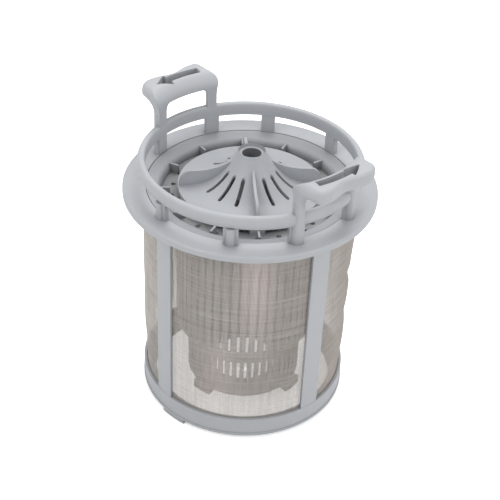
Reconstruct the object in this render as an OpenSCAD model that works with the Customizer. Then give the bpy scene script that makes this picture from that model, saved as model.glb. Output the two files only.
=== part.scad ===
// Double central filter of a dishwasher: a coarse strainer that drops into a fine mesh filter.
// Millimetres, Z up, axis of the filter on Z, the part stands on Z = 0 with one handle at -Y and one at +Y.
// Angles of features are counted from -Y, positive towards +X, seen from above anticlockwise.

/* [Flange] */
// Diameter of the flange
flange_d = 120; // [112:1:130]
// Thickness of the flange
flange_t = 3; // [2:0.1:4]
// Rounding of the flange's top edge
flange_round = 1; // [0.4:0.1:1.8]
// Height of the flange's top above the floor
flange_top = 116.7; // [100:0.1:140]
// Diameter of the seat that the coarse strainer's rim drops into
seat_d = 98.4; // [92:0.1:102]
// Depth of that seat below the flange's top
seat_depth = 1.8; // [1.4:0.1:2.2]
// Width of the ledge under the strainer's rim
ledge_w = 2.5; // [1.5:0.1:4]
// Height of the collar that holds the top of the mesh
collar_h = 6; // [4:0.5:10]

/* [Ring and posts] */
// Outer diameter of the guard ring
ring_d = 103.4; // [102:0.1:106]
// Thickness of the guard ring and of its posts
ring_t = 2.4; // [1.8:0.1:2.4]
// Height of the guard ring's band
ring_h = 6.3; // [4:0.1:9]
// Height of the ring's top above the flange
ring_top = 15.1; // [12:0.1:20]
// Width of a plain post
post_w = 6.8; // [5:0.1:9]
// Width of a handle's post below the ring
foot_w = 7.1; // [5:0.1:9]
// Half width of the rounded rib on a post
rib_w = 2.2; // [1:0.1:2.4]
// Reach of that rib beyond the ring
rib_out = 1.6; // [1:0.1:2.4]
// Angle of the first plain post
post_a = -93; // [-100:0.5:-80]
// Angle of the second plain post
post_b = -51.4; // [-60:0.1:-40]

/* [Handles] */
// Angle from a handle's middle to the post at the arrow's tail
tail_post_a = -18.2; // [-22:0.1:-16]
// Width of that post above the ring
tail_post_w = 5; // [4:0.1:7]
// Angle from a handle's middle to the post at the arrow's head
head_post_a = 17.6; // [16:0.1:22]
// Width of that post above the ring
head_post_w = 6.2; // [4:0.1:7]
// Height of the lip's flat underside above the flange
lip_under = 24.3; // [22:0.1:27]
// Height of the lip's highest line above the flange
lip_top = 32.5; // [30:0.1:36]
// Distance from the axis to the lip's outer edge at its middle
lip_out = 61.6; // [61:0.1:63]
// Height of the two waves of the lip's outer edge
lip_wave = 2; // [0:0.1:2.4]
// Half width of the lip
lip_half_w = 19.2; // [18:0.1:22]
// Rise of the lip's top from the roll on its inner side to the outer roll
lip_rise = 2.2; // [0:0.1:3]
// Radius of the roll along the lip's inner side
inner_roll = 5.2; // [3:0.1:6]
// Radius of the roll along the lip's outer side
outer_roll = 3; // [1.5:0.1:3.6]
// Radius of the handle's upper corners, as seen from outside
arch_r = 8.5; // [5:0.1:8.5]
// Height that the lip's underside rises at its two ends
end_rise = 4; // [2:0.1:5]
// Height above the flange where a post starts to flare out to the lip
flare_z = 21; // [12:0.5:22]
// Distance from the axis to the middle of the arrow's shaft
arrow_r = 57.7; // [56:0.1:59]
// Width of the arrow's shaft
shaft_w = 4.5; // [3:0.1:6]
// Angle of the arrow's tail from the handle's middle
tail_a = -14; // [-15:0.5:-10]
// Angle of the head's barbs from the handle's middle
barb_a = 4; // [0:0.5:6]
// Angle of the arrow's tip from the handle's middle
tip_a = 10; // [8:0.5:12]
// Width of the arrow's head
head_w = 8.2; // [6:0.1:9]

/* [Fine filter body] */
// Diameter over the upright struts
strut_d = 102.2; // [101:0.1:104]
// Width of a strut
strut_w = 10.2; // [8:0.1:16]
// Thickness of a strut
strut_t = 1.2; // [1:0.1:1.6]
// Angle of the first strut
strut_a = -1.6; // [-5:0.1:5]
// Diameter of the base ring
base_d = 103; // [102:0.1:106]
// Height of the base ring's band
base_h = 10.2; // [8:0.1:14]
// Height of the bead along the base ring's lower edge
bead_h = 1.5; // [1:0.1:3]
// Reach of that bead beyond the band
bead_t = 0.3; // [0.1:0.05:0.6]
// Inner diameter of the base ring
base_bore = 91; // [86:0.5:94]
// Outer diameter of the locating spigot
spigot_d = 94; // [92:0.5:97]
// Height of the locating spigot and of the bayonet lugs
spigot_h = 2.2; // [1.5:0.1:4]
// Arc that a bayonet lug covers
lug_arc = 16; // [8:1:30]
// Angle at which the first lug starts
lug_a = -92; // [-110:1:-80]
// Radial thickness of a lug
lug_t = 3.2; // [2:0.1:4]

/* [Mesh] */
// Thickness of the rolled mesh
mesh_t = 0.4; // [0.3:0.05:0.6]
// Gap between the mesh and the struts
mesh_gap = 0.1; // [0.05:0.05:0.2]
// Depth of the mesh in the base ring's groove
mesh_seat = 2; // [1:0.1:4]

/* [Coarse strainer] */
// Turn of the strainer in the fine filter
insert_turn = -36; // [-180:1:180]
// Play between the strainer's rim and its seat
rim_play = 0.3; // [0.2:0.05:0.4]
// Thickness of the strainer's rim
rim_t = 1.6; // [1.2:0.1:1.6]
// Radius of the throat below the rim
throat_r = 41.8; // [41:0.1:43]
// Wall of the funnel
funnel_t = 1.4; // [1.2:0.1:1.6]
// Height of the trough's floor below the flange's top
floor_z = 6; // [5:0.1:9]
// Number of gussets
gusset_n = 12; // [6:1:16]
// Thickness of a gusset
gusset_t = 1; // [0.8:0.1:1.6]
// Radius of the gussets' inner end
gusset_in = 37.8; // [37.5:0.1:40]
// Height of the gussets' top below the flange's top
gusset_z = 1.5; // [1:0.1:3]
// Number of drain holes in the floor
hole_n = 24; // [12:1:36]
// Diameter of a drain hole
hole_d = 2.4; // [1.2:0.1:3]
// Radius of the circle of drain holes
hole_r = 37; // [36:0.1:39]

/* [Basket] */
// Outer radius of the basket's upper tube
tube_r = 34; // [32:0.1:35]
// Outer radius of the basket's lower tube
nose_r = 28.5; // [24:0.1:30]
// Wall of the basket
tube_t = 1.5; // [1.2:0.1:2]
// Height of the basket's bottom edge
nose_z = 7.2; // [4:0.1:12]
// Radius of the opening in the basket's bottom
mouth_r = 17; // [12:0.5:24]
// Height where the lower tube ends
neck_z = 31; // [28:0.1:40]
// Height of the sloping neck between the tubes
neck_h = 6.5; // [4:0.1:10]
// Number of strainer slots round the basket
slot_n = 48; // [24:2:60]
// Width of a strainer slot
slot_w = 1.5; // [1:0.1:2.4]
// Length of the slots in the lower tube
lower_slot = 12.6; // [6:0.2:15]
// Solid height between the slots and the tubes' ends
slot_end = 2; // [1:0.1:6]
// Reach of the basket's outer feet from the axis
foot_r = 33; // [31:0.1:36]
// Arc that a foot covers
foot_arc = 18; // [8:1:30]
// Height of a foot
foot_h = 4.5; // [3:0.1:6]

/* [Cone cap] */
// Radius of the cap's rim
cap_r = 34.2; // [32:0.1:35]
// Wall of the cap
cap_t = 1.6; // [1.2:0.1:2]
// Height of the cap's rim above the flange's top
cap_z = -0.4; // [-1:0.1:1]
// Depth of the rim's skirt
cap_skirt = 2.6; // [2:0.1:4]
// Rise of the bell from the rim to the hub
bell_h = 15; // [12:0.5:18]
// Radius where the bell meets the hub
bell_r = 8; // [7:0.1:9]
// Radius of the hub
hub_r = 6.8; // [6:0.1:8]
// Height of the hub's top above the flange's top
hub_z = 16.2; // [14:0.1:20]
// Diameter of the hub's hole
hub_bore = 8.9; // [6:0.1:10]
// Depth of the hub's tube below its top
hub_l = 24; // [16:1:40]
// Thickness of a fin
fin_t = 1.4; // [1:0.1:2]
// Height of a fin's crest above the flange's top
fin_z = 7.4; // [5:0.1:9]
// Radius where the fin's crest rounds down
fin_r = 28.3; // [24:0.1:30]
// Width of a slot in the bell
cap_slot_w = 1.8; // [1:0.1:2.4]
// Inner end of the slots
cap_slot_in = 11.5; // [10:0.1:14]
// Outer end of the slots
cap_slot_out = 23; // [18:0.1:26]

/* [Hidden] */
$fn = 96;
steps = 24;              // segments of a curve that follows a formula
eps = 0.01;              // overlap that joins two shapes of one moulding
half = 180;
fin_n = 4;
fins_gap = 360 / fin_n;
slots_between = 3;       // slots between two fins
flange_r = flange_d / 2;
seat_r = seat_d / 2;
ring_r = ring_d / 2;
ring_in = ring_r - ring_t;
strut_r = strut_d / 2;
strut_in = strut_r - strut_t;
base_r = base_d / 2;
mesh_out = strut_in - mesh_gap;
mesh_in = mesh_out - mesh_t;
base_z = spigot_h;
base_top = base_z + base_h;
mesh_bottom = base_top - mesh_seat;
flange_under = flange_top - flange_t;
ring_z = flange_top + ring_top;
rim_r = seat_r - rim_play;
rim_z = flange_top - seat_depth + rim_t;
floor_top = flange_top - floor_z;
relief = 0.3;            // recess round the struts' upper ends, so that the flange sits flat
relief_r = strut_r + 1;
post_inset = 0.1;        // posts stand this much inside the ring's faces

// Cuts a ring sector out of the region to the right of the Z axis, centred on angle a
module sector(a, arc) {
    rotate([0, 0, a - 90 - arc / 2]) rotate_extrude(angle = arc) children();
}

// Puts what is drawn along +X at an angle counted from -Y
module at(a) {
    rotate([0, 0, a - 90]) children();
}

function arc_of(width, radius) = 2 * asin(width / 2 / radius);

function curve(x, y, r, from, to, n) =
    [for (k = [0 : n]) let (w = from + (to - from) * k / n) [x + r * cos(w), y + r * sin(w)]];

// Flange with a round top edge, the seat for the strainer and the collar inside the mesh
module flange() {
    seat_z = flange_top - seat_depth;
    collar_r = mesh_in - mesh_gap;
    rotate_extrude() polygon(concat(
        [[collar_r, flange_under + relief], [relief_r, flange_under + relief],
        [relief_r, flange_under], [flange_r, flange_under]],
        curve(flange_r - flange_round, flange_top - flange_round, flange_round, 0, 90, 5),
        [[seat_r, flange_top], [seat_r, seat_z], [seat_r - ledge_w, seat_z],
        [seat_r - ledge_w, seat_z - collar_h], [collar_r, seat_z - collar_h]]));
}

// Guard ring: a band with a fully rounded top
module guard_ring() {
    rotate_extrude() polygon(concat([[ring_in, ring_z - ring_h], [ring_r, ring_z - ring_h]],
        curve(ring_in + ring_t / 2, ring_z - ring_t / 2, ring_t / 2, 0, 180, 8)));
}

// Post between flange and ring, with its half-round rib on the outer face
module post(a, width, height, rib_height, inset = post_inset) {
    sector(a, arc_of(width, ring_r))
        translate([ring_in + inset, flange_top - eps]) square([ring_t - 2 * inset, height + eps]);
    rib(a, rib_height);
}

module rib(a, height) {
    root = ring_r - 1;
    at(a) translate([root, 0, flange_top - eps]) linear_extrude(height + eps) polygon(
        [for (k = [0 : 12]) let (w = 90 - half * k / 12) [(rib_out + 1) * cos(w), rib_w * sin(w)]]);
}

// Distance from the axis to the lip's outer edge at angle w from its middle
lip_arc = asin(lip_half_w / lip_out);
function lip_edge(w) = lip_out + lip_wave * (1 - cos(2 * half * w / lip_arc)) / 2;

// Plan of the lip: a bent bar with a wavy outer edge and round ends
module lip_plan() {
    inside = ring_in - 4;
    outer = [for (k = [-steps : steps]) let (w = lip_arc * sin(90 * k / steps),
        r = inside + (lip_edge(w) - inside) * pow(1 - pow(abs(w) / lip_arc, 5), 0.5)) r * [cos(w), sin(w)]];
    polygon(concat(outer, [[inside - 6, inside * sin(lip_arc)], [inside - 6, -inside * sin(lip_arc)]]));
}

// Section of the lip: flat below, rolled over on both sides and rising outwards
lip_section = let (zt = flange_top + lip_top - lip_rise, zu = flange_top + lip_under, ro = lip_out + lip_wave, n = 6)
    concat([[ring_in, zu]],
        [for (k = [0 : n]) let (w = 180 - 90 * k / n)
            [ring_in + inner_roll * (1 + cos(w)), zt - inner_roll * (1 - sin(w))]],
        [for (k = [0 : n]) let (w = 90 - 110 * k / n)
            [ro - outer_roll * (1 - cos(w)), zt + lip_rise - outer_roll * (1 - sin(w))]],
        [[ro - outer_roll * 0.5, zu + outer_roll * 0.4], [ro - outer_roll, zu]]);

// Arrow in plan that shows which way to turn the filter free
module arrow() {
    n = 6;
    inner = arrow_r - shaft_w / 2;
    outer = arrow_r + shaft_w / 2;
    polygon(concat(
        [for (k = [0 : n]) let (w = tail_a + (barb_a - tail_a) * k / n) inner * [cos(w), sin(w)]],
        [(arrow_r - head_w / 2) * [cos(barb_a), sin(barb_a)], arrow_r * [cos(tip_a), sin(tip_a)],
            (arrow_r + head_w / 2) * [cos(barb_a), sin(barb_a)]],
        [for (k = [n : -1 : 0]) let (w = tail_a + (barb_a - tail_a) * k / n) outer * [cos(w), sin(w)]]));
}

// Section of a handle's post: straight up from the flange, then a hollow curve out to the lip
post_section = let (z0 = flange_top + flare_z, z1 = flange_top + lip_under + end_rise + 0.5, r0 = ring_r - post_inset,
    dr = lip_out - 3 - r0, n = 8)
    concat([[ring_in + post_inset, flange_top - eps], [r0, flange_top - eps]],
        [for (k = [0 : n]) let (w = 90 * k / n) [r0 + dr * (1 - cos(w)), z0 + (z1 - z0) * sin(w)]],
        [[ring_in + post_inset, z1]]);

// Front of the lip, as seen from outside: flat below the middle, rising at both ends
module lip_front() {
    rise_w = 6.5;
    end = [for (k = [0 : 6]) let (w = 90 * k / 6)
        [lip_half_w - rise_w * (1 - sin(w)), flange_top + lip_under - 0.3 + (end_rise + 0.3) * (1 - cos(w))]];
    rotate([90, 0, 90]) linear_extrude(lip_out + 10) polygon(concat(end,
        [[lip_half_w, flange_top + lip_top + 1], [-lip_half_w, flange_top + lip_top + 1]],
        [for (k = [6 : -1 : 0]) [-end[k][0], end[k][1]]]));
}

// Front of the whole handle: an arch with round corners
module arch() {
    top = flange_top + lip_top + 0.3;
    corner = curve(lip_half_w - arch_r, top - arch_r, arch_r, 0, 90, 8);
    rotate([90, 0, 90]) linear_extrude(lip_out + 10) polygon(concat(
        [[-lip_half_w - 0.1, flange_top - 1], [lip_half_w + 0.1, flange_top - 1]],
        corner, [for (k = [8 : -1 : 0]) [-corner[k][0], corner[k][1]]]));
}

// Handle: two flared posts and the lip with the arrow cut right through it
module handle(a) {
    lower = ring_top - ring_h / 2;
    for (q = [[tail_post_a, tail_post_w, -0.5], [head_post_a, head_post_w, 0.8]])
        post(a + q[0] + q[2], foot_w, lower, lower, 2 * post_inset);
    difference() {
        intersection() {
            union() {
                for (q = [[tail_post_a, tail_post_w], [head_post_a, head_post_w]]) {
                    sector(a + q[0], arc_of(q[1], ring_r)) polygon(post_section);
                    rib(a + q[0], flare_z + 2.5);
                }
                intersection() {
                    sector(a, 2 * lip_arc + 4) polygon(lip_section);
                    at(a) translate([0, 0, flange_top + lip_under - 1])
                        linear_extrude(lip_top - lip_under + 2) lip_plan();
                    at(a) lip_front();
                }
            }
            at(a) arch();
        }
        at(a) translate([0, 0, flange_top + lip_under - 5]) linear_extrude(lip_top) arrow();
    }
}

// Upright struts between flange and base ring
module struts() {
    for (k = [0 : 3])
        sector(strut_a + 90 * k, arc_of(strut_w, strut_r))
            translate([strut_in, base_top - eps])
                square([strut_t, flange_under + relief - base_top + 2 * eps]);
}

// Base ring with its bead, the seat for the mesh, the spigot and the bayonet lugs
module base() {
    band_r = base_r - bead_t;
    groove_r = mesh_out + mesh_gap / 2;
    shelf = base_top - 3;
    rotate_extrude() polygon([
        [base_bore / 2, 0], [spigot_d / 2, 0], [spigot_d / 2, base_z], [base_r, base_z],
        [base_r, base_z + bead_h], [band_r, base_z + bead_h], [band_r, base_top],
        [groove_r, base_top], [groove_r, mesh_bottom], [mesh_in - mesh_gap, mesh_bottom],
        [mesh_in - mesh_gap, shelf], [base_bore / 2, shelf]]);
    for (k = [0, 1])
        sector(lug_a + lug_arc / 2 + half * k, lug_arc)
            translate([base_r - lug_t, 0]) square([lug_t - bead_t / 2, base_z + eps]);
}

// One moulding: flange, guard ring, handles, struts and base ring
module fine_filter_frame() {
    color([0.70, 0.71, 0.73]) {
        flange();
        guard_ring();
        for (a = [post_a, post_b], k = [0, half])
            post(a + k, post_w, ring_top - ring_h / 2, ring_top - ring_h + eps);
        for (k = [0, half])
            handle(k);
        struts();
        base();
    }
}

// Rolled sleeve of fine mesh between flange and base ring
module mesh_sleeve() {
    color([0.62, 0.60, 0.57]) rotate_extrude()
        translate([mesh_in, mesh_bottom]) square([mesh_t, flange_under + relief - mesh_bottom]);
}

// Ring of the coarse strainer: sloping rim, throat that rolls down to the floor, and gussets
module funnel_ring() {
    roll_x = 3;
    slope = 1.2;
    top = [for (k = [0 : 6]) let (w = 90 * k / 6)
        [throat_r + roll_x * (1 - sin(w)), floor_top + (rim_z - slope - floor_top) * cos(w)]];
    under = [for (k = [6 : -1 : 0]) let (w = 90 * k / 6)
        [throat_r + roll_x - (roll_x - funnel_t) * sin(w),
        floor_top + (rim_z - slope - funnel_t - floor_top) * cos(w)]];
    color([0.70, 0.71, 0.73]) {
        rotate_extrude() polygon(concat([[rim_r, rim_z]], top, under,
            [[seat_r - ledge_w, rim_z - rim_t], [rim_r, rim_z - rim_t]]));
        for (k = [0 : gusset_n - 1])
            at(insert_turn + 360 / gusset_n * k)
                translate([gusset_in, -gusset_t / 2, floor_top])
                    cube([throat_r + 0.8 - gusset_in, gusset_t, floor_z - gusset_z]);
    }
}

// Basket: the trough's floor with its drain holes above a slotted tube that steps in to a narrow nose
module coarse_basket() {
    tube_in = tube_r - tube_t;
    nose_in = nose_r - tube_t;
    floor_under = floor_top - funnel_t;
    upper_z = neck_z + neck_h + slot_end;
    upper_slot = floor_under - slot_end - upper_z;
    lower_z = neck_z - slot_end - lower_slot;
    color([0.66, 0.65, 0.65]) {
        difference() {
            rotate_extrude() polygon([
                [tube_in, floor_top], [throat_r + funnel_t + 1, floor_top], [throat_r + funnel_t + 1, floor_under],
                [tube_r, floor_under], [tube_r, neck_z + neck_h], [nose_r, neck_z], [nose_r, nose_z],
                [mouth_r, nose_z], [mouth_r, nose_z + tube_t], [nose_in, nose_z + tube_t], [nose_in, neck_z], [tube_in, neck_z + neck_h]]);
            for (k = [0 : hole_n - 1])
                at(insert_turn + 360 / hole_n * k) translate([hole_r, 0, floor_under - 1])
                    cylinder(d = hole_d, h = funnel_t + 2, $fn = 24);
            for (k = [0 : slot_n - 1])
                at(insert_turn + 360 / slot_n * (k + 0.5)) {
                    translate([tube_in - 1, -slot_w / 2, upper_z]) cube([tube_t + 2, slot_w, upper_slot]);
                    translate([nose_in - 1, -slot_w / 2, lower_z]) cube([tube_t + 2, slot_w, lower_slot]);
                }
        }
        for (k = [0 : 3])
            sector(insert_turn + 45 + 90 * k, foot_arc)
                translate([nose_r - tube_t / 2, nose_z + eps])
                    square([foot_r - nose_r + tube_t / 2, foot_h]);
    }
}

// Height of the bell's surface at radius r
function bell(r) =
    let (u = (r - bell_r) / (cap_r - bell_r))
    flange_top + cap_z + bell_h * pow(max(0, 1 - u), 3);

// Height of a fin's top edge at radius r
function crest(r) =
    let (u = (r - hub_r) / (fin_r - hub_r))
    flange_top + fin_z + (hub_z - fin_z - 2) * pow(max(0, 1 - u), 2.5);

module fin() {
    edge = cap_r - 0.6 - fin_r;
    profile = concat(
        [[hub_r - 1, bell(cap_r)], [hub_r - 1, crest(hub_r)]],
        [for (k = [0 : steps]) let (r = hub_r + (fin_r - hub_r) * k / steps) [r, crest(r)]],
        [for (k = [1 : 8]) let (w = 90 * k / 8) [fin_r + edge * sin(w), flange_top + fin_z * cos(w)]],
        [[fin_r + edge, bell(cap_r) - cap_t / 2]]);
    rotate([90, 0, 0]) translate([0, 0, -fin_t / 2]) linear_extrude(fin_t) polygon(profile);
}

// Cap over the basket: hub, bell with slots, four fins and feet on the basket's floor
module cone_cap() {
    rim = flange_top + cap_z;
    start = hub_r - 0.5;
    outer = [for (k = [0 : steps]) let (r = start + (cap_r - start) * k / steps) [r, bell(r)]];
    inner = [for (k = [steps : -1 : 0]) let (r = start + (cap_r - cap_t - start) * k / steps) [r, bell(r) - cap_t]];
    color([0.68, 0.70, 0.72]) {
        difference() {
            union() {
                rotate_extrude() polygon(concat(outer, [[cap_r, rim - cap_skirt], [cap_r - cap_t, rim - cap_skirt]], inner));
                translate([0, 0, flange_top + hub_z - hub_l]) cylinder(r = hub_r, h = hub_l);
                for (k = [0 : fin_n - 1]) at(insert_turn + fins_gap * k)
                    difference() {
                        fin();
                        rotate_extrude() polygon(concat([[0, bell(cap_r) - 5], [0, bell(hub_r - 0.5) - cap_t / 2]],
                            [for (p = outer) [p[0], p[1] - cap_t / 2]], [[cap_r, bell(cap_r) - 5]]));
                    }
            }
            translate([0, 0, flange_top + hub_z - hub_l - 1]) cylinder(d = hub_bore, h = hub_l + 2);
            for (k = [0 : fin_n - 1], j = [1 : slots_between])
                at(insert_turn + fins_gap * (k + j / (slots_between + 1)))
                    translate([0, 0, rim - cap_skirt]) {
                        translate([cap_slot_in + cap_slot_w / 2, -cap_slot_w / 2, 0])
                            cube([cap_slot_out - cap_slot_in - cap_slot_w, cap_slot_w, 16]);
                        for (r = [cap_slot_in, cap_slot_out - cap_slot_w])
                            translate([r + cap_slot_w / 2, 0, 0]) cylinder(d = cap_slot_w, h = 16, $fn = 24);
                    }
        }
        for (k = [0 : fin_n - 1])
            sector(insert_turn + fins_gap * k, 12)
                translate([cap_r - cap_t + 0.1, floor_top])
                    square([cap_t - 0.2, rim - 1.2 - floor_top]);
    }
}

fine_filter_frame();
mesh_sleeve();
funnel_ring();
coarse_basket();
cone_cap();
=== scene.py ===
# %% [markdown]
# # A double central filter for a dishwasher
# The real object is two filters in one. A fine filter, a moulded cage with a wide flange and a sleeve
# of woven mesh, hangs in the sump. A coarse strainer, a funnel with a slotted basket and a cone cap,
# drops into it from above. The solids come from the CAD model, already in metres and standing on z = 0,
# so every piece made here is placed by the same numbers. One handle points to -Y and one to +Y.

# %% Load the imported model
import math

import bmesh
import bpy
import numpy as np
from mathutils import Matrix


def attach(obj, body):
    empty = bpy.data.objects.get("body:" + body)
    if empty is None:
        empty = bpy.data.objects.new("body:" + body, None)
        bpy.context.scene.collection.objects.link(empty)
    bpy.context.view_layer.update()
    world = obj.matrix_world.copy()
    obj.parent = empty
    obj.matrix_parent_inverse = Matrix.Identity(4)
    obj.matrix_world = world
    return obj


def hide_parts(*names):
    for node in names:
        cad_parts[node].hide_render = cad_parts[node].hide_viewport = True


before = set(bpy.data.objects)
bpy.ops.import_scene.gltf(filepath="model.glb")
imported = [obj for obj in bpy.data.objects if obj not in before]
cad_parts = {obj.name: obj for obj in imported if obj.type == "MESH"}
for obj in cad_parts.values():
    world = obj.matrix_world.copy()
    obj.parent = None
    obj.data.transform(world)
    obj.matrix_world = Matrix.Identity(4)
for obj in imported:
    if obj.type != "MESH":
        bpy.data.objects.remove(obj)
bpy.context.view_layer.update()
MM = 0.001
FLANGE_TOP = 116.7 * MM

# %% [markdown]
# ## The camera
# The photograph looks down on the rim at about a third of a right angle. The lens and the place were
# worked out from the ellipses of the flange and from the posts of the guard ring, which repeat after
# half a turn. The aim is a turn round each of the camera's own axes, done as small matrices.

# %% Camera
VIEW_AZIMUTH, VIEW_ELEVATION = math.radians(-42.9), math.radians(32.4965)
VIEW_DISTANCE = 0.53986
AIM_YAW, AIM_PITCH, AIM_ROLL = (math.radians(a) for a in (0.12497, 3.36455, -2.55597))
LENS = 1147.65 / 500 * 36


def turn(axis, angle):
    """Matrix of a turn by an angle about one axis: cosines on the diagonal, sines beside them."""
    c, s = math.cos(angle), math.sin(angle)
    rows = {
        "x": [[1, 0, 0], [0, c, -s], [0, s, c]],
        "y": [[c, 0, s], [0, 1, 0], [-s, 0, c]],
        "z": [[c, -s, 0], [s, c, 0], [0, 0, 1]],
    }
    return np.array(rows[axis])


def camera_axes():
    """Rows are the camera's right, up and back: a plain look at the axis, then roll x pitch x yaw."""
    back = np.array([0, -math.cos(VIEW_ELEVATION), math.sin(VIEW_ELEVATION)])
    right = np.array([1.0, 0, 0])
    plain = np.array([right, np.cross(back, right), back])
    aimed = turn("z", AIM_ROLL) @ turn("x", AIM_PITCH) @ turn("y", AIM_YAW) @ plain
    spin = turn("z", VIEW_AZIMUTH)
    return aimed @ spin.T, spin @ back * VIEW_DISTANCE + [0, 0, FLANGE_TOP]


axes, eye = camera_axes()
lens_data = bpy.data.cameras.new("camera")
lens_data.lens, lens_data.sensor_width = LENS, 36
lens_data.clip_start, lens_data.clip_end = 0.01, 20
camera = bpy.data.objects.new("camera", lens_data)
bpy.context.scene.collection.objects.link(camera)
placed = np.eye(4)
placed[:3, :3], placed[:3, 3] = axes.T, eye
camera.matrix_world = Matrix(placed.tolist())
bpy.context.scene.camera = camera
print("camera at", [round(float(v), 4) for v in eye], "lens", round(LENS, 2))

# %% [markdown]
# ## A small language for shaders
# Node graphs read better as sums. A `Wire` holds one output socket, and adding, multiplying or
# subtracting wires makes the Math nodes. Any other node comes from `Paint.node`, which takes the
# node's type, its settings and what goes into its sockets.

# %% Wires and paint
class Wire:
    """One output socket. Operators on numbers and wires become Math nodes."""

    def __init__(self, paint, socket):
        self.paint, self.socket = paint, socket

    def _math(self, operation, *terms):
        return self.paint.node("ShaderNodeMath", {"operation": operation}, *terms)

    def __add__(self, other):
        return self._math("ADD", self, other)

    __radd__ = __add__

    def __mul__(self, other):
        return self._math("MULTIPLY", self, other)

    __rmul__ = __mul__

    def __sub__(self, other):
        return self._math("SUBTRACT", self, other)

    def __rsub__(self, other):
        return self._math("SUBTRACT", other, self)

    def __pow__(self, other):
        return self._math("POWER", self, other)

    def __lt__(self, other):
        return self._math("LESS_THAN", self, other)


class Paint:
    """A node material being written: its tree, its shader and a maker of further nodes."""

    def __init__(self, name):
        self.material = bpy.data.materials.new(name)
        self.material.use_nodes = True
        self.tree = self.material.node_tree
        self.shader = self.tree.nodes["Principled BSDF"]

    def node(self, kind, settings=None, *values, out=0, **named):
        """Adds a node, sets it up first, then fills its sockets by order or by name."""
        made = self.tree.nodes.new(kind)
        for key, value in (settings or {}).items():
            setattr(made, key, value)
        for key, value in [*enumerate(values), *named.items()]:
            self.feed(made.inputs[key], value)
        return Wire(self, made.outputs[out])

    def feed(self, socket, value):
        """Links a wire to a socket, or writes a number or colour on it."""
        if isinstance(value, Wire):
            self.tree.links.new(value.socket, socket)
        else:
            socket.default_value = value

    def place(self):
        """Where a point lies on the object, in metres."""
        return self.node("ShaderNodeTexCoord", out="Object")

    def noise(self, place, scale, detail=3.0, rough=0.5):
        """Cloudy noise from 0 to 1, with about `scale` clouds to the metre."""
        return self.node(
            "ShaderNodeTexNoise", None, Vector=place, Scale=scale, Detail=detail, Roughness=rough
        )

    def mix(self, factor, low, high):
        """Colour that goes from low to high as the factor goes from 0 to 1."""
        return self.node("ShaderNodeMix", {"data_type": "RGBA"}, factor, out=2, A=low, B=high)


print("shader helpers ready")

# %% [markdown]
# ## Moulded plastic
# The mouldings are a pale cool grey with a satin skin. Close up, such a skin is never quite even: flow
# in the mould leaves faint clouds, handling leaves duller patches, and a very fine texture breaks up the
# reflections. A bevel in the shading catches light on the edges as the real radii do. Shade is painted
# into the creases: the share of open space round a point, within a given distance, darkens the colour
# there, and the hub's bore, which is deep and closed in, has painted shade as far as its radius.

# %% Plastic
# Painted shade: how dark the creases go, and how much the hub's bore is darkened.
CREASE_SHADE, BORE_SHADE = 0.22, 0.75


def plastic(name, colour, cloud, rough=0.42, edge=0.35, crease=9, depth=0.8, bore=0):
    """Colour = clouds x openness to a power as painted crease shade, with painted shade inside the bore;
    roughness = base + patches.

    Lengths are in mm: edge is the bevel, crease the reach of the openness that paints the crease shade,
    bore the radius of the painted bore shade.
    """
    paint = Paint(name)
    place = paint.place()
    clouds = paint.noise(place, 28, 4.0, 0.55)
    patches = paint.noise(place, 95, 3.0)
    grain = paint.noise(place, 2600, 2.0)
    dark = [c * (1 - cloud) for c in colour] + [1]
    skin = paint.mix(clouds, dark, [*colour, 1])
    # Painted shade: the colour darkens in creases, where little open space is round a point, and inside
    # the hub's bore.
    openness = paint.node("ShaderNodeAmbientOcclusion", {"samples": 6}, out=1, Distance=crease * MM)
    deep = [c * CREASE_SHADE for c in colour] + [1]
    flat = paint.node("ShaderNodeVectorMath", {"operation": "MULTIPLY"}, place, (1, 1, 0))
    from_axis = paint.node("ShaderNodeVectorMath", {"operation": "LENGTH"}, flat, out=1)
    light = openness**depth * (1 - (from_axis < bore * MM) * BORE_SHADE)
    paint.feed(paint.shader.inputs["Base Color"], paint.mix(light, deep, skin))
    paint.feed(paint.shader.inputs["Roughness"], rough - 0.06 + patches * 0.16)
    soft = paint.node("ShaderNodeBevel", {"samples": 4}, edge * MM)
    bump = paint.node(
        "ShaderNodeBump", None, Strength=0.18, Distance=0.05 * MM, Height=grain, Normal=soft
    )
    paint.feed(paint.shader.inputs["Normal"], bump)
    paint.shader.inputs["Specular IOR Level"].default_value = 0.42
    print(name, "colour", colour, "roughness about", rough)
    return paint.material


CAGE_GREY = (0.47, 0.485, 0.51)
STRAINER_GREY = (0.45, 0.465, 0.49)
CAP_GREY = (0.435, 0.45, 0.475)
BASKET_GREY = (0.41, 0.415, 0.425)
cage_plastic = plastic("cage_plastic", CAGE_GREY, 0.05, crease=6, depth=0.45)
strainer_plastic = plastic("strainer_plastic", STRAINER_GREY, 0.06, crease=14, depth=1.0)
cap_plastic = plastic("cap_plastic", CAP_GREY, 0.06, crease=4, depth=0.3, bore=4.6)
basket_plastic = plastic("basket_plastic", BASKET_GREY, 0.05, rough=0.5)
FINISH = {
    "fine_filter_frame": cage_plastic,
    "funnel_ring": strainer_plastic,
    "cone_cap": cap_plastic,
    "coarse_basket": basket_plastic,
}
for node, finish in FINISH.items():
    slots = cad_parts[node].data.materials
    slots.clear()
    slots.append(finish)

# %% [markdown]
# ## Surfaces on a grid
# Tubes, rings and discs are all one kind of surface: a grid of points, where each corner is joined to
# its three neighbours. The grid can be closed along its rows, along its columns, or along both, as a
# ring with a round section is.

# %% Surfaces on a grid
def new_object(name, mesh):
    """Object at the origin that shows a mesh."""
    made = bpy.data.objects.new(name, mesh)
    bpy.context.scene.collection.objects.link(made)
    print(name, len(mesh.vertices), "points", len(mesh.polygons), "faces")
    return made


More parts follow.
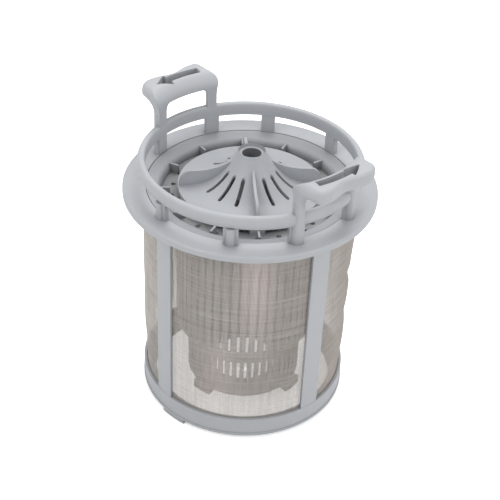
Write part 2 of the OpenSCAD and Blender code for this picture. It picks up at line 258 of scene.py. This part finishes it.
def grid_object(name, points, uv=None, close_u=False, close_v=False):
    """Mesh from a grid of points (rows x columns x 3): corner k joins k, k+1, k+columns+1, k+columns."""
    rows, columns = points.shape[:2]
    index = np.arange(rows * columns).reshape(rows, columns)
    if close_u:
        index = np.concatenate([index, index[:, :1]], axis=1)
    if close_v:
        index = np.concatenate([index, index[:1]], axis=0)
    faces = np.stack([index[:-1, :-1], index[:-1, 1:], index[1:, 1:], index[1:, :-1]], axis=-1)
    faces = faces.reshape(-1, 4)
    mesh = bpy.data.meshes.new(name)
    mesh.from_pydata(points.reshape(-1, 3), [], faces)
    if uv is not None:
        layer = mesh.uv_layers.new(name="UVMap")
        corners = [uv[:-1, :-1], uv[:-1, 1:], uv[1:, 1:], uv[1:, :-1]]
        layer.data.foreach_set("uv", np.stack(corners, axis=2).astype(np.float32).ravel())
    mesh.shade_smooth()
    return new_object(name, mesh)


# %% [markdown]
# ## The two grips
# On the real filter the grips are soft, heavy lips: each post flares out into a lip that is rolled on
# every side, waisted in the middle, and has an arrow cut through it. The CAD solids hold the same form
# with plainer rolls. A lip like this has no single pair of parameters, so it is written as a distance
# function instead: negative inside, positive outside. Distance functions of simple forms are joined
# with a rounded maximum or minimum, which leaves a fillet of a chosen radius. Each grip has its two
# posts down to the flange, half round bars that stand proud of the guard ring.

# %% Distance functions
def round_max(a, b, radius):
    """Larger of two distances, with a round edge: root of the squares of (a + radius), (b + radius)."""
    u, v = np.maximum(a + radius, 0), np.maximum(b + radius, 0)
    return np.minimum(np.maximum(a, b), -radius) + np.sqrt(u * u + v * v)


def round_min(a, b, radius):
    """Smaller of two distances, with a round inner corner: a rounded maximum turned inside out."""
    return -round_max(-a, -b, radius)


# Millimetres from the axis or above the floor, and degrees from the grip's middle
RING_IN, POST_OUT, POST_FOOT = 49.27, 53.9, 116.5
POSTS = [(-18.2, -18.7, 5.0), (17.6, 18.4, 6.2)]  # angle above and below the ring, width above
FOOT_WIDTH, RING_LOW, RING_HIGH = 7.1, 125.5, 131.5
FLARE_LOW, FLARE_HIGH, FLARE_OUT = 137.6, 144.6, 7.2
GRIP_TOP, GRIP_UNDER, GRIP_HALF = 149.3, 141.2, 19.3
EDGE_WAIST, EDGE_WAVE, WAIST_AT = 60.9, 1.85, -1.3
RISE, RISE_FROM = 2.4, 12.0
HEAD_CORNER, TAIL_CORNER, INNER_ROLL, END_ROLL = 8.0, 4.6, 8.0, 4.2
ARROW_R, SHAFT_HALF, HEAD_HALF = 56.6, 2.05, 4.0
ARROW_TAIL, ARROW_BARB, ARROW_TIP = -13.4, 4.2, 12.4
SHAFT_OVERLAP, HEAD_SCALE = 0.3, 0.87
UNDER_ROLL, POST_FILLET, END_EDGE, INNER_EDGE, ARROW_EDGE = 3.0, 2.2, 2.2, 0.5, 0.35


def post_distance(r, phi, z, angle, foot, width):
    """Half round bar on the ring, wider below it, its outer face a quarter ellipse above FLARE_LOW."""
    below = np.clip((RING_HIGH - z) / (RING_HIGH - RING_LOW), 0, 1)
    side = np.radians(phi - angle - (foot - angle) * below) * r
    climb = np.clip((z - FLARE_LOW) / (FLARE_HIGH - FLARE_LOW), 0, 1)
    face = POST_OUT + FLARE_OUT * (1 - np.sqrt(1 - climb**2))
    half = width / 2 + 0.08 + (FOOT_WIDTH - width) / 2 * below + 0.8 * climb
    return round_max(np.abs(side) - half, (r - face) * 0.75, 2.3)


def arrow_distance(r, phi):
    """In plan: a bent shaft from the tail to the barb, then a triangle that closes at the tip.

    The shaft runs a little into the triangle, whose slope is scaled to about 1 mm in 1 mm.
    """
    off = np.abs(r - ARROW_R)
    shaft = np.maximum(off - SHAFT_HALF, np.maximum(ARROW_TAIL - phi, phi - ARROW_BARB - SHAFT_OVERLAP))
    taper = (ARROW_TIP - phi) / (ARROW_TIP - ARROW_BARB)
    head = np.maximum((off - HEAD_HALF * taper) * HEAD_SCALE, ARROW_BARB - phi)
    return np.minimum(shaft, head)


def grip_distance(p):
    """Grip at -Y, in mm: waisted lip and flared posts, rolled in one over top and inner side.

    Outer edge = waist + wave x sine squared, with half a wave in 20 degrees. The underside rises
    with the square of the way from RISE_FROM to the lip's end.
    """
    x, y, z = p[..., 0], p[..., 1], p[..., 2]
    r, phi = np.hypot(x, y), np.degrees(np.arctan2(x, -y))
    wave = np.radians(np.clip((phi - WAIST_AT) * 9, -90, 90))
    edge = EDGE_WAIST + EDGE_WAVE * np.sin(wave) ** 2
    corner = np.where(x > 0, HEAD_CORNER, TAIL_CORNER)
    outline = round_max(-y - edge, np.abs(x) - GRIP_HALF, corner)
    rise = RISE * np.clip((np.abs(x) - RISE_FROM) / 7.2, 0, 1) ** 2
    whole = round_max(outline, GRIP_UNDER + rise - z, UNDER_ROLL)
    for post in POSTS:
        whole = round_min(whole, post_distance(r, phi, z, *post), POST_FILLET)
    top = z - GRIP_TOP
    whole = round_max(whole, round_max(np.abs(x) - GRIP_HALF, top, END_ROLL), END_EDGE)
    whole = round_max(whole, round_max(RING_IN - r, top, INNER_ROLL), INNER_EDGE)
    whole = round_max(whole, -arrow_distance(r, phi), ARROW_EDGE)
    return np.maximum(whole, POST_FOOT - z)


print("distance at the lip's middle", round(float(grip_distance(np.array([0.0, -61.4, 145.0]))), 2))

# %% [markdown]
# A distance function becomes a mesh by surface nets. Space is cut into small cubes. Each cube that the
# surface passes through gets one point, and each cube edge that the surface crosses gets a quad of the
# four points around it. Then every point slides down the slope of the function until it lies on the
# surface, which takes out the steps of the cubes.

# %% Surface nets
def net_quads(crossed, inside, index, axis, b, c):
    """Four cells round every crossed edge along one axis, turned so that the quad faces outwards."""
    inner = [slice(None)] * 3
    inner[b], inner[c] = slice(1, -1), slice(1, -1)
    step = np.eye(3, dtype=int)
    corner = np.argwhere(crossed[tuple(inner)]) + step[b] + step[c]
    cells = [corner - step[b] - step[c], corner - step[c], corner, corner - step[b]]
    quad = np.stack([index[tuple(cell.T)] for cell in cells], axis=-1)
    starts_inside = inside[tuple(corner.T)]
    keep = starts_inside if axis != 1 else ~starts_inside
    return np.where(keep[:, None], quad, quad[:, ::-1])


def net_points(value, grid, cell):
    """Sum and count of the crossings on each cube's edges, and the quads between the cubes."""
    inside = value < 0
    count = np.array(value.shape) - 1
    total, hits = np.zeros((*count, 3)), np.zeros(count)
    index = np.arange(count.prod()).reshape(count)
    quads = []
    for axis in range(3):
        b, c = [k for k in range(3) if k != axis]
        first = np.moveaxis(value, axis, 0)
        share = first[:-1] / (first[:-1] - first[1:] + 1e-12)
        side = np.moveaxis(inside, axis, 0)
        spot = np.moveaxis(grid, axis, 0)[:-1] + share[..., None] * np.eye(3)[axis] * cell
        spot, crossed = np.moveaxis(spot, 0, axis), np.moveaxis(side[:-1] != side[1:], 0, axis)
        for i, j in ((0, 0), (0, 1), (1, 0), (1, 1)):
            cut = [slice(None)] * 3
            cut[b], cut[c] = slice(i, count[b] + i), slice(j, count[c] + j)
            here = crossed[tuple(cut)]
            total += spot[tuple(cut)] * here[..., None]
            hits += here
        quads.append(net_quads(crossed, inside, index, axis, b, c))
    return total, hits, np.concatenate(quads)


def surface_net(function, low, high, cell):
    """Points = means of each cube's crossings, then p - f(p) x gradient, a few times."""
    ticks = [np.arange(a, b + cell, cell) for a, b in zip(low, high)]
    grid = np.stack(np.meshgrid(*ticks, indexing="ij"), axis=-1)
    total, hits, quads = net_points(function(grid), grid, cell)
    used, faces = np.unique(quads, return_inverse=True)
    points = (total / np.maximum(hits, 1)[..., None]).reshape(-1, 3)[used]
    reach = 0.02
    for _ in range(6):
        f = function(points)
        slope = [(function(points + d) - f) / reach for d in np.eye(3) * reach]
        slope = np.stack(slope, axis=-1)
        move = f[:, None] * slope / np.maximum((slope**2).sum(-1), 0.3)[:, None]
        points = points - np.clip(move, -cell / 2, cell / 2)
    return points, faces.reshape(quads.shape)


def mesh_object(name, points, faces):
    """Object from points in mm and faces."""
    mesh = bpy.data.meshes.new(name)
    mesh.from_pydata(points * MM, [], faces)
    mesh.shade_smooth()
    return new_object(name, mesh)


GRIP_LOW, GRIP_HIGH, GRIP_CELL = (-21, -65, 116.0), (21, -44, 150), 0.35
net, net_faces = surface_net(grip_distance, GRIP_LOW, GRIP_HIGH, GRIP_CELL)
grip_front = mesh_object("grip_front", net, net_faces)
grip_back = mesh_object("grip_back", net * [-1, -1, 1], net_faces)

# %% [markdown]
# The guard ring is a bar with an oval section, nearly flat inside, where the strainer passes, and fully
# round outside. Its four quarters come from one rule with a different power inside and outside.

# %% Guard ring
RING_MIDDLE, RING_HALF_WIDTH = 51.05, 1.85
RING_Z, RING_HALF_HEIGHT = 128.6, 3.27


def signed_power(value, power):
    """The size of a value to a power, with the value's own sign."""
    return np.sign(value) * np.abs(value) ** power


def rolled_ring(columns=240, rows=40):
    """Oval section turned round Z: |x/a| and |z/b| to the power n add up to 1, n = 4 in, 2.2 out."""
    turned = np.linspace(0, 2 * np.pi, columns, endpoint=False)
    section = np.linspace(0, 2 * np.pi, rows, endpoint=False)
    t, a = np.meshgrid(section, turned, indexing="ij")
    power = 2 / np.where(np.cos(t) < 0, 4.0, 2.2)
    radius = RING_MIDDLE + RING_HALF_WIDTH * signed_power(np.cos(t), power)
    z = RING_Z + RING_HALF_HEIGHT * signed_power(np.sin(t), power)
    return np.stack([radius * np.cos(a), radius * np.sin(a), z], axis=-1) * MM


ring_roll = grid_object("ring_roll", rolled_ring(), close_u=True, close_v=True)

# %% [markdown]
# The cage itself is the CAD mesh, copied and cut off above the guard ring. The cut leaves open edges on
# the four posts, which are filled. The new grips and the new ring wrap round what is left, so neither
# the cuts nor the plainer ring show. All four pieces stand for the one moulding.

# %% The cage without its lips
CUT = 137.0 * MM
SHARP = math.radians(30)


def cut_copy(node, name):
    """Copy of a CAD node's mesh, merged, with all above CUT removed and the cut closed."""
    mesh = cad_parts[node].data.copy()
    mesh.name = name
    work = bmesh.new()
    work.from_mesh(mesh)
    bmesh.ops.remove_doubles(work, verts=work.verts, dist=1e-7)
    everything = work.verts[:] + work.edges[:] + work.faces[:]
    bmesh.ops.bisect_plane(
        work, geom=everything, plane_co=(0, 0, CUT), plane_no=(0, 0, 1), clear_outer=True
    )
    rim = [e for e in work.edges if e.is_boundary and abs(e.verts[0].co.z - CUT) < 1e-6]
    bmesh.ops.holes_fill(work, edges=rim)
    work.to_mesh(mesh)
    work.free()
    if "custom_normal" in mesh.attributes:
        mesh.attributes.remove(mesh.attributes["custom_normal"])
    mesh.shade_smooth()
    mesh.set_sharp_from_angle(angle=SHARP)
    return new_object(name, mesh)


cage = cut_copy("fine_filter_frame", "cage")
for piece in (cage, grip_front, grip_back, ring_roll):
    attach(piece, "fine_filter")
    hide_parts("fine_filter_frame")
    piece.data.materials.clear()
    piece.data.materials.append(cage_plastic)

# %% [markdown]
# ## The woven mesh
# The sleeve is a sheet of fine mesh rolled into a tube and moulded into the cage. It is only held along
# its edges and by the struts, so between them it isn't quite round: the side panels belly out under the
# flange, one of them is pinched by a fold, and a crease runs across the other. A cloth that is held so
# lightly could be simulated, but here each dent has a known place, so the radius of the tube is written
# as a function of angle and height: a sum of smooth hills.

# %% Cloth in folds
def bump_at(x, centre, width):
    """A smooth hill of height 1: e to the power of minus ((x - centre) / width) squared."""
    return np.exp(-(((x - centre) / width) ** 2))


MESH_RADIUS, MESH_LOW, MESH_HIGH = 49.62 * MM, 10.6 * MM, 113.95 * MM
STRUT_FIRST, PANEL = math.radians(-1.6), math.radians(90)
BELLY = np.array([1.75, 1.3, 1.75, 0.1])  # right, back, left and front panel, in mm


def ease(x, low, high):
    """Smooth step from 0 to 1: with t from 0 to 1 between low and high, 3t squared minus 2t cubed."""
    t = np.clip((x - low) / (high - low), 0, 1)
    return t * t * (3 - 2 * t)


def mesh_points(columns=720, rows=220):
    """Radius = tube + belly x (a hill between two struts) x (full at the top, less below) - folds."""
    turn_angle = np.linspace(0, 2 * np.pi, columns + 1)
    height = np.linspace(MESH_LOW, MESH_HIGH, rows)
    a, z = np.meshgrid(turn_angle, height)
    h = z / MM
    panel = np.floor((a - STRUT_FIRST) / PANEL).astype(int) % 4
    across = (a - STRUT_FIRST) / PANEL % 1
    hill = np.sin(across * np.pi) ** 1.2
    upward = ease(h, 13, 40) * (0.55 + 0.45 * ease(h, 70, 108))
    out = BELLY[panel] * hill * upward
    left, right, front = panel == 2, panel == 0, panel == 3
    pinch = 1.5 * bump_at(h, 97 + 34 * (across - 0.5), 6.5) + 0.35 * bump_at(h, 84, 9)
    crease = 0.9 * bump_at(h, 92 - 44 * across, 3.2) + 0.5 * bump_at(h, 66 - 38 * across, 4)
    ripple = 0.16 * np.sin(h * 0.19 + 3 * a) + 0.10 * np.sin(h * 0.07 - 7 * a)
    out = out - hill * (left * pinch + right * crease) + hill * ripple * ease(h, 13, 30)
    out = out - front * hill * (0.12 * bump_at(h, 60 + 40 * across, 5) + 0.2 * bump_at(h, 112, 5))
    radius = MESH_RADIUS + out * MM
    points = np.stack([radius * np.sin(a), -radius * np.cos(a), z], axis=-1)
    return points, np.stack([a * MESH_RADIUS / MM / 100, z / MM / 100], axis=-1)


points, uv = mesh_points()
mesh_cloth = grid_object("mesh_cloth", points[:, :-1], uv, close_u=True)
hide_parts("mesh_sleeve")
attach(mesh_cloth, "fine_filter")

# %% [markdown]
# The weave is two sets of threads. A thread is a wave across the cloth, and where both waves are low a
# hole shows what is behind. Real threads are never drawn evenly, so noise that is stretched far along
# the cloth or far up it makes some of them darker and denser. The pattern reads the sheet's own UV map,
# in tenths of a metre along and up the sheet, so it follows the cloth round the tube. Two sheen bands
# and a thin dark line, where two widths of mesh meet, are painted in the same coordinates. A flat
# sheet can't show that threads seen at a slant close up, so the cloth is painted denser at both sides,
# and on the far side too, so that no white glints through the strainer's slots.

# %% Woven material
# Painted highlight: where the two sheen bands lie.
SHEEN_BAND_AT, LOW_SHEEN_BAND_AT = 323, 303  # degrees round the tube
RIGHT_AT, LEFT_AT, FAR_AT = 40, 224, 137
# Colours of the painted sheen and of the painted shade on the cloth's right side.
SHEEN, SHADE = [0.80, 0.70, 0.66, 1], [0.27, 0.235, 0.215, 1]


def woven(name, thread_colour, pitch=0.62, cover=0.52):
    """Alpha = cover +- threads +- streaks; colour x clouds x streaks, with painted sheen bands and
    painted shade on the right side; bump from the threads.
    """
    paint = Paint(name)
    sheet = paint.node("ShaderNodeUVMap", {"uv_map": "UVMap"})
    across = paint.node("ShaderNodeSeparateXYZ", None, sheet)
    up = Wire(paint, across.socket.node.outputs[1])

    def streaks(x, y):
        """Noise on the sheet stretched by its two factors."""
        spot = paint.node("ShaderNodeCombineXYZ", None, across * x, up * y, 0.0)
        return paint.noise(spot, 1.0, 2.0, 0.6) - 0.5

    def wave(side):
        """From 0 to 1 and back once in a pitch: half a sine plus a half."""
        turns = side * (200 * math.pi / pitch)
        return paint.node("ShaderNodeMath", {"operation": "SINE"}, turns) * 0.5 + 0.5

    def hill(wire, centre, width):
        """1 at the centre, falling smoothly to 0 at one width from it."""
        off = paint.node("ShaderNodeMath", {"operation": "ABSOLUTE"}, wire - centre)
        return paint.node(
            "ShaderNodeMapRange", {"interpolation_type": "SMOOTHSTEP"}, off, 0.0, width, 1.0, 0.0
        )

    def hill_at(angle, width):
        """A hill across the sheet at an angle in degrees."""
        return hill(across, MESH_RADIUS / MM / 100 * math.radians(angle), width)

    thread = paint.node("ShaderNodeMath", {"operation": "MAXIMUM"}, wave(across), wave(up))
    warp, weft, fine_warp = streaks(60, 2.5), streaks(2.5, 90), streaks(260, 6)
    clouds = paint.noise(sheet, 9, 3.0)
    # Painted highlight: two sheen bands that lighten the cloth's colour.
    sheen_band = hill_at(SHEEN_BAND_AT, 0.12) * hill(up, 1.05, 0.62)
    low_sheen_band = hill_at(LOW_SHEEN_BAND_AT, 0.17) * hill(up, 0.38, 0.3)
    right, left = hill_at(RIGHT_AT, 0.42), hill_at(LEFT_AT, 0.42)
    far = hill_at(FAR_AT, 0.85) * hill(up, 0.7, 0.75)
    seam = paint.node("ShaderNodeMath", {"operation": "COMPARE"}, up, 0.657, 0.0035)

    tone = 0.50 + clouds * 0.2 + warp * 1.1 + weft * 0.8 + fine_warp * 0.5 - seam * 0.5
    dark = [c * 0.6 for c in thread_colour] + [1]
    light = [c * 1.4 for c in thread_colour] + [1]
    colour = paint.mix(tone, dark, light)
    # Painted highlight: the sheen bands mixed into the colour.
    colour = paint.mix(sheen_band * 0.95 + low_sheen_band * 0.6, colour, SHEEN)
    # Painted shade: the cloth's colour is darkened towards its right side.
    colour = paint.mix(right * 0.75, colour, SHADE)

    holes = paint.node("ShaderNodeMapRange", None, thread, 0.45, 0.8, -0.13, 0.12)
    alpha = holes + cover - warp * 0.3 + fine_warp * 0.2 + weft * 0.2 + seam * 0.12
    alpha = alpha + left * 0.22 + right * 0.48 + far * 0.7
    paint.feed(paint.shader.inputs["Base Color"], colour)
    paint.feed(paint.shader.inputs["Alpha"], alpha)
    paint.feed(paint.shader.inputs["Roughness"], 0.5 + clouds * 0.15)
    bump = paint.node("ShaderNodeBump", None, Strength=0.35, Distance=0.1 * MM, Height=thread + warp)
    paint.feed(paint.shader.inputs["Normal"], bump)
    paint.shader.inputs["Specular IOR Level"].default_value = 0.3
    print(name, "pitch", pitch, "mm, cover", cover)
    return paint.material


mesh_cloth.data.materials.append(woven("woven_mesh", (0.49, 0.45, 0.415)))

# %% [markdown]
# ## The floor
# The photograph is a plain studio shot on white. A large pale disc takes the object's soft shadow. It
# glows to the camera alone, so it looks as white as the world round it without lighting the object.

# %% Floor
FLOOR_RADIUS, FLOOR_Z, FLOOR_GLOW = 6.0, -0.0002, 0.55


def disc_points(radius, columns=96, rows=6):
    """Rings of points: radius grows with the square of the row, so the middle isn't crowded."""
    r, a = np.meshgrid(
        radius * np.linspace(0.02, 1, rows) ** 2, np.linspace(0, 2 * np.pi, columns + 1), indexing="ij"
    )
    return np.stack([r * np.cos(a), r * np.sin(a), 0 * r + FLOOR_Z], axis=-1)


floor = grid_object("floor", disc_points(FLOOR_RADIUS))
white = Paint("floor_white")
white.shader.inputs["Roughness"].default_value = 0.9
white.shader.inputs["Specular IOR Level"].default_value = 0.1
cloud = white.noise(white.place(), 6)
tone = white.mix(cloud, [0.90, 0.90, 0.90, 1], [0.92, 0.92, 0.92, 1])
white.feed(white.shader.inputs["Base Color"], tone)
to_camera = white.node("ShaderNodeLightPath", None, out="Is Camera Ray")
glow = white.mix(to_camera, [0, 0, 0, 1], [FLOOR_GLOW] * 3 + [1])
white.feed(white.shader.inputs["Emission Color"], glow)
white.shader.inputs["Emission Strength"].default_value = 1.0
floor.data.materials.append(white.material)

# %% [markdown]
# ## The light
# Three large lamps shape the curves: one high on the left, one on the right and one from behind. The
# world adds an even light. It is stronger where it is seen, straight or in a reflection, than where it
# only lights, so the background is white and the object still has shape.

# %% Lamps and world
def area_lamp(name, place, target, size, watts):
    """A square lamp at a place, aimed so that its own -Z runs along target minus place."""
    data = bpy.data.lights.new(name, "AREA")
    data.size, data.energy = size, watts
    lamp = bpy.data.objects.new(name, data)
    bpy.context.scene.collection.objects.link(lamp)
    back = np.array(place, float) - np.array(target, float)
    back /= np.linalg.norm(back)
    right = np.cross([0, 0, 1.0], back)
    right /= np.linalg.norm(right)
    matrix = np.eye(4)
    matrix[:3, 0], matrix[:3, 1], matrix[:3, 2], matrix[:3, 3] = right, np.cross(back, right), back, place
    lamp.matrix_world = Matrix(matrix.tolist())
    print(name, watts, "W")


def beside(azimuth, distance, height):
    """A place seen from above at an angle from the camera's own direction."""
    a = VIEW_AZIMUTH + math.radians(azimuth)
    return [distance * math.sin(a), -distance * math.cos(a), height]


AIM = [0, 0, 0.08]
WORLD_LIGHT, WORLD_SEEN = 0.55, 1.0
area_lamp("key", beside(-55, 0.9, 1.0), AIM, 0.7, 4.6)
area_lamp("fill", beside(60, 1.0, 0.7), AIM, 0.8, 3.8)
area_lamp("top", beside(170, 0.6, 1.2), AIM, 0.8, 6.4)
world = bpy.data.worlds.new("studio")
world.use_nodes = True
bpy.context.scene.world = world
nodes, links = world.node_tree.nodes, world.node_tree.links
path = nodes.new("ShaderNodeLightPath")
seen = path.outputs["Is Camera Ray"]
for ray in ("Is Glossy Ray", "Is Transmission Ray"):
    either = nodes.new("ShaderNodeMath")
    either.operation = "MAXIMUM"
    links.new(seen, either.inputs[0])
    links.new(path.outputs[ray], either.inputs[1])
    seen = either.outputs[0]
level = nodes.new("ShaderNodeMapRange")
links.new(seen, level.inputs[0])
level.inputs[3].default_value, level.inputs[4].default_value = WORLD_LIGHT, WORLD_SEEN
sky = nodes["Background"]
links.new(level.outputs[0], sky.inputs["Strength"])
sky.inputs["Color"].default_value = (1, 1, 1, 1)
bpy.context.scene.view_settings.view_transform = "Standard"
print("world ready")
